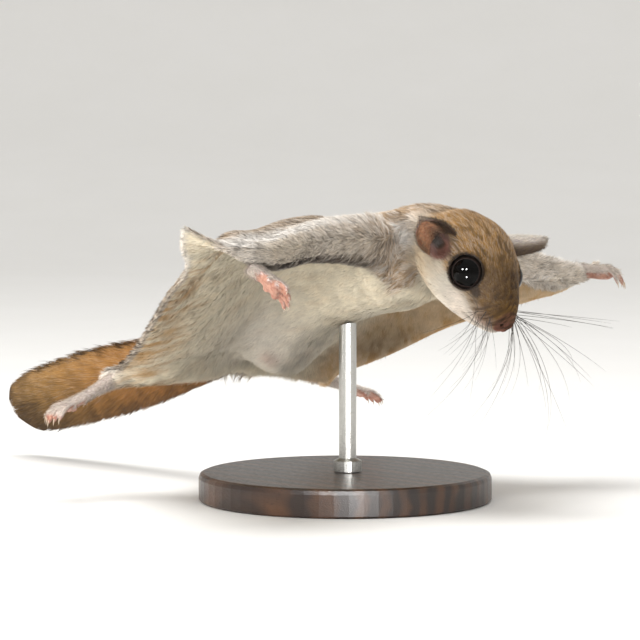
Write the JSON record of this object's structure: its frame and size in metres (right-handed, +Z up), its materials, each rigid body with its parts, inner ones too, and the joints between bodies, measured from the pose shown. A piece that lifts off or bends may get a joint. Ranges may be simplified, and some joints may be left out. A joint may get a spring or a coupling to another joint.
{
  "type": "flying squirrel",
  "caption": "Still, life-size model of a southern flying squirrel in mid glide with spread membranes, on a plain round stand.",
  "frame": {"origin": "the middle of the display stand's underside", "axes": "+Z up, the animal heads along -Y and its left side is +X; its body is pitched 19 degrees nose up and lies 3 degrees left side low"},
  "size_m": [0.1722, 0.2176, 0.0858],
  "materials": {
    "coat_back": "soft grey-brown fur with dark ticking",
    "coat_belly": "soft cream fur",
    "coat_head": "short tan fur with dark ticking",
    "coat_tail": "long flat brown fur with a dark fringe",
    "paw_skin": "bare pink skin",
    "ear_skin": "thin pink skin",
    "eye": "wet, glossy black",
    "claw": "horn",
    "whisker": "stiff dark hair",
    "base_wood": "dark oiled wood",
    "rod_steel": "satin"
  },
  "bodies": {
    "root": {"ear_left": "ear_skin", "ear_right": "ear_skin", "eye_left": "eye", "eye_right": "eye", "foot_left": "paw_skin", "foot_right": "paw_skin", "forearm_left": "coat_back", "forearm_right": "coat_back", "hand_left": "paw_skin", "hand_right": "paw_skin", "head": "coat_head", "neck": "coat_head", "patagium_left": "coat_belly", "patagium_right": "coat_belly", "shank_left": "coat_back", "shank_right": "coat_back", "stand_base": "base_wood", "stand_rod": "rod_steel", "tail": "coat_tail", "thigh_left": "coat_back", "thigh_right": "coat_back", "torso": "coat_back", "upper_arm_left": "coat_back", "upper_arm_right": "coat_back"}
  },
  "joints": []
}
